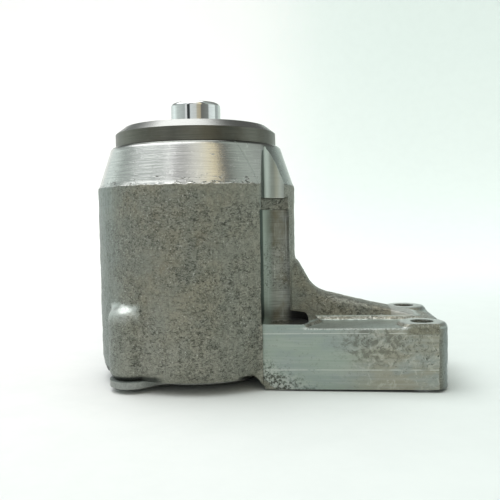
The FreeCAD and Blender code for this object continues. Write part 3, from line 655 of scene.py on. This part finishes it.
def make_casting(iron):
    source = frame["nodes"]["housing"]
    bpy.ops.object.select_all(action="DESELECT")
    casting = bpy.data.objects.new("housing_casting", source.data.copy())
    bpy.context.scene.collection.objects.link(casting)
    bpy.context.view_layer.objects.active = casting
    casting.select_set(True)
    bpy.ops.mesh.customdata_custom_splitnormals_clear()
    bpy.ops.object.mode_set(mode="EDIT")
    bpy.ops.mesh.select_all(action="SELECT")
    bpy.ops.mesh.remove_doubles(threshold=MERGE_DISTANCE * MM)
    bpy.ops.mesh.dissolve_degenerate(threshold=SLIVER_WIDTH * MM)
    split_long_edges(casting.data)
    true_up_turned_faces(casting.data)
    group = casting.vertex_groups.new(name="cast_skin")
    group.add([v.index for v in casting.data.vertices if not is_machined(v.co)], 1.0, "REPLACE")
    soften = casting.modifiers.new("soften", "SMOOTH")
    soften.vertex_group = "cast_skin"
    soften.factor = 0.5
    soften.iterations = 5
    bpy.ops.object.modifier_apply(modifier="soften")
    add_relief(casting, "swells", 14.0, 0.45)
    add_relief(casting, "lumps", 4.0, 0.40)
    add_relief(casting, "sand", 1.8, 0.30)
    thin = casting.modifiers.new("thin", "DECIMATE")
    thin.vertex_group = "cast_skin"
    thin.ratio = CASTING_FACES / len(casting.data.polygons)
    bpy.ops.object.modifier_apply(modifier="thin")
    bpy.ops.object.shade_smooth_by_angle(angle=SHARP_ANGLE)
    casting.data.materials.clear()
    casting.data.materials.append(iron)
    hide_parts("housing")
    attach(casting, "housing")


# Studio: a pale sweep, soft light all round and the camera

LENS_PIXELS = 649.84
FRAME_PIXELS = 500
SENSOR_WIDTH = 36.0
CAMERA_DISTANCE = 331.64
CAMERA_SIDE = 26.25
CAMERA_HEIGHT = 79.06
CAMERA_YAW = math.radians(4.71)
CAMERA_PITCH = math.radians(2.92)
CAMERA_ROLL = math.radians(-1.01)
BACKDROP_HEIGHT = 0.85
FLOOR_GAP = 0.2
FLOOR_FALL = 0.010
OVERHEAD = 2.2


def make_camera():
    ahead = Vector((-math.sin(CAMERA_YAW), math.cos(CAMERA_YAW), 0))
    right = Vector((math.cos(CAMERA_YAW), math.sin(CAMERA_YAW), 0))
    up = Vector((0, 0, 1))
    position = CAMERA_SIDE * right - CAMERA_DISTANCE * ahead + CAMERA_HEIGHT * up
    view = ahead * math.cos(CAMERA_PITCH) - up * math.sin(CAMERA_PITCH)
    lifted = up * math.cos(CAMERA_PITCH) + ahead * math.sin(CAMERA_PITCH)
    side = right * math.cos(CAMERA_ROLL) + lifted * math.sin(CAMERA_ROLL)
    top = lifted * math.cos(CAMERA_ROLL) - right * math.sin(CAMERA_ROLL)
    data = bpy.data.cameras.new("photo_camera")
    data.sensor_width = SENSOR_WIDTH
    data.lens = SENSOR_WIDTH * LENS_PIXELS / FRAME_PIXELS
    data.clip_start = 0.01
    camera = bpy.data.objects.new("photo_camera", data)
    turn = Matrix((side, top, -view)).transposed().to_4x4()
    shift = Matrix.Translation((position + Vector((AXIS_X, 0, 0))) * MM)
    camera.matrix_world = shift @ turn
    bpy.context.scene.collection.objects.link(camera)
    bpy.context.scene.camera = camera


def make_sweep():
    """Floor and backdrop in one pale sheet with a wide bend behind the part."""
    bpy.ops.object.select_all(action="DESELECT")
    bpy.ops.mesh.primitive_plane_add(size=3.2, location=(0, 0.1, 0))
    sweep = bpy.context.object
    sweep.name = "studio_sweep"
    bpy.ops.object.mode_set(mode="EDIT")
    bpy.ops.mesh.select_all(action="DESELECT")
    bpy.ops.object.mode_set(mode="OBJECT")
    for edge in sweep.data.edges:
        ends = [sweep.data.vertices[i].co.y for i in edge.vertices]
        edge.select = min(ends) > 0
    bpy.ops.object.mode_set(mode="EDIT")
    bpy.ops.mesh.select_mode(type="EDGE")
    bpy.ops.mesh.extrude_region_move(TRANSFORM_OT_translate={"value": (0, 0, BACKDROP_HEIGHT)})
    bpy.ops.object.mode_set(mode="OBJECT")
    bevel = sweep.modifiers.new("bend", "BEVEL")
    bevel.width = 0.6
    bevel.segments = 24
    bevel.limit_method = "ANGLE"
    bpy.ops.object.modifier_apply(modifier="bend")
    for polygon in sweep.data.polygons:
        polygon.use_smooth = True
    for vertex in sweep.data.vertices:
        vertex.co.z -= FLOOR_GAP * MM + FLOOR_FALL * (vertex.co.x - AXIS_X * MM)
    # Painted light and shade: the paper glows more with distance behind the part and with height, and its colour
    # and glow are darker and greener to the right.
    finish = Finish("studio_paper", Roughness=0.9, Emission_Strength=0.30)
    paper = finish.blend(finish.x.rise(-150, 170), (0.755, 0.76, 0.757), (0.650, 0.710, 0.690))
    crumple = finish.noise(24, 4, 0.7).rise(0.35, 0.7)
    paper = finish.blend(crumple * 0.10, paper, (0.52, 0.57, 0.555))
    tint = finish.blend(finish.x.rise(-500, 400), (0.96, 0.97, 0.97), (0.58, 0.68, 0.65))
    glow = finish.shade(finish.y.rise(0, 600) + finish.z.rise(100, 600) * 0.25, tint)
    sweep.data.materials.append(finish.wire(Base_Color=paper, Emission_Color=glow))
    return sweep


def make_world():
    """Soft room light: uneven walls, an uneven upper room and a bright patch overhead."""
    world = bpy.data.worlds.new("studio_room")
    bpy.context.scene.world = world
    world.use_nodes = True
    tree = world.node_tree
    direction = add_node(tree, "ShaderNodeTexCoord", None, None, "Generated")
    x = add_node(tree, "ShaderNodeSeparateXYZ", None, {0: direction}, "X")
    y = add_node(tree, "ShaderNodeSeparateXYZ", None, {0: direction}, "Y")
    z = add_node(tree, "ShaderNodeSeparateXYZ", None, {0: direction}, "Z")
    bearing = x.math("ARCTAN2", y * -1) / math.tau + 0.5
    walls = add_node(tree, "ShaderNodeValToRGB", {"stops": [
        (0.00, (1.00, 1.08, 1.06)),
        (0.14, (0.95, 1.04, 1.01)),
        (0.205, (1.25, 1.38, 1.33)),
        (0.27, (0.75, 0.82, 0.78)),
        (0.385, (0.58, 0.62, 0.60)),
        (0.392, (1.05, 1.07, 1.06)),
        (0.412, (1.05, 1.07, 1.06)),
        (0.418, (0.05, 0.06, 0.06)),
        (0.450, (0.08, 0.09, 0.09)),
        (0.457, (0.92, 0.97, 0.96)),
        (0.530, (0.85, 0.87, 0.83)),
        (0.545, (0.68, 0.62, 0.48)),
        (0.586, (0.62, 0.54, 0.38)),
        (0.597, (0.22, 0.22, 0.20)),
        (0.690, (0.32, 0.34, 0.32)),
        (0.705, (0.98, 1.05, 1.03)),
        (0.800, (1.15, 1.25, 1.20)),
        (0.815, (0.45, 0.50, 0.48)),
        (1.00, (1.00, 1.08, 1.06)),
    ]}, {0: bearing})
    upper = add_node(tree, "ShaderNodeValToRGB", {"stops": [
        (0.00, (0.22, 0.22, 0.21)),
        (0.22, (0.48, 0.53, 0.51)),
        (0.33, (0.66, 0.72, 0.70)),
        (0.405, (0.66, 0.70, 0.68)),
        (0.411, (1.60, 1.60, 1.60)),
        (0.425, (1.60, 1.60, 1.60)),
        (0.432, (0.66, 0.66, 0.66)),
        (0.487, (0.72, 0.71, 0.70)),
        (0.505, (1.10, 1.09, 1.04)),
        (0.545, (1.15, 1.12, 1.02)),
        (0.575, (1.25, 1.14, 0.86)),
        (0.606, (1.20, 1.04, 0.70)),
        (0.616, (0.25, 0.24, 0.24)),
        (0.650, (0.24, 0.25, 0.23)),
        (0.675, (0.50, 0.56, 0.51)),
        (0.74, (0.58, 0.64, 0.59)),
        (0.85, (0.34, 0.36, 0.34)),
        (1.00, (0.22, 0.22, 0.21)),
    ]}, {0: bearing})
    colours = {"data_type": "RGBA"}
    room = add_node(tree, "ShaderNodeMix", colours, {0: z.rise(0.30, 0.44), 6: walls, 7: upper}, 2)
    patch = (z - x * 0.35).rise(0.80, 0.93)
    overhead = (OVERHEAD, OVERHEAD, OVERHEAD, 1.0)
    light = add_node(tree, "ShaderNodeMix", colours, {0: patch, 6: room, 7: overhead}, 2)
    tree.links.new(light.socket, tree.nodes["Background"].inputs["Color"])


def add_area_light(name, place, target, width, height, power):
    data = bpy.data.lights.new(name, "AREA")
    data.shape = "RECTANGLE"
    data.size = width
    data.size_y = height
    data.energy = power
    lamp = bpy.data.objects.new(name, data)
    lamp.location = place
    lamp.rotation_euler = (Vector(target) - Vector(place)).to_track_quat("-Z", "Y").to_euler()
    bpy.context.scene.collection.objects.link(lamp)


def make_lights():
    add_area_light("ceiling_panel", (-0.25, 0.10, 1.0), (-0.03, 0, 0.08), 0.7, 0.7, 3.5)


def main():
    materials = make_materials()
    finish_nodes(materials)
    make_casting(materials["cast_iron"])
    make_sweep()
    make_world()
    make_lights()
    make_camera()
    bpy.context.scene.view_settings.view_transform = "Standard"


main()
